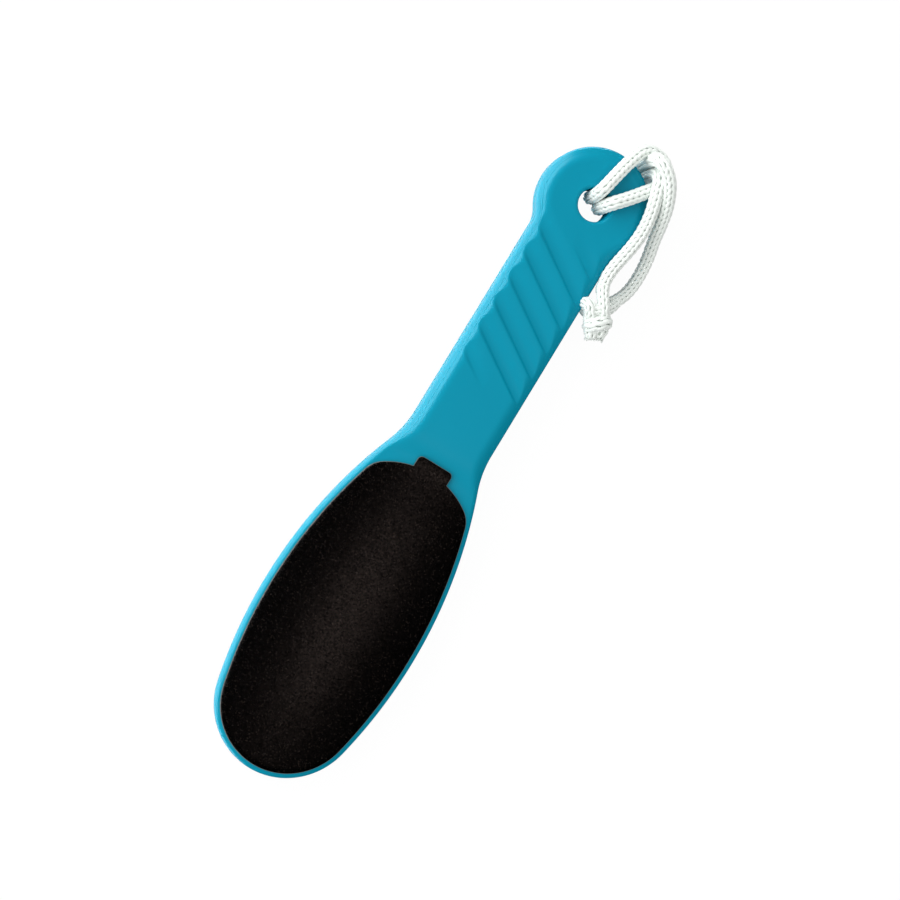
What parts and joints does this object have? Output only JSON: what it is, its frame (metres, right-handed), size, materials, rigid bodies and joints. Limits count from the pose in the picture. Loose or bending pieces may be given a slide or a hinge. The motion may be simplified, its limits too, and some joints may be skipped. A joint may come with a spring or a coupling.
{
  "type": "foot file",
  "caption": "Two-sided foot file: long oval paddle with an abrasive pad on each face, gripped flat handle, round head with a hole and a knotted hanging cord.",
  "frame": {"origin": "centre of the file's body, on the joint face between its two shells", "axes": "+X along the file from the paddle's tip to the head, +Y across it, +Z out of its front face"},
  "size_m": [0.2604, 0.0601, 0.0288],
  "materials": {
    "shell": "smooth moulded plastic with a soft satin gloss",
    "abrasive": "fine mineral grit bonded in dark resin",
    "backing": "grey waterproof backing sheet with a thin adhesive film",
    "cord": "white knitted polyester cord"
  },
  "bodies": {
    "body": {"front_shell": "shell", "rear_shell": "shell", "hang_cord": "cord", "cord_knot": "cord", "cord_tails": "cord"},
    "front_pad": {"front_abrasive": "abrasive", "front_backing": "backing"},
    "rear_pad": {"rear_abrasive": "abrasive", "rear_backing": "backing"}
  },
  "joints": [
    {"name": "front_pad_peel", "type": "slide", "parent": "body", "child": "front_pad", "axis": [0, 0, 1], "range_m": [0, 0.03]},
    {"name": "rear_pad_peel", "type": "slide", "parent": "body", "child": "rear_pad", "axis": [0, 0, -1], "range_m": [0, 0.03]}
  ]
}
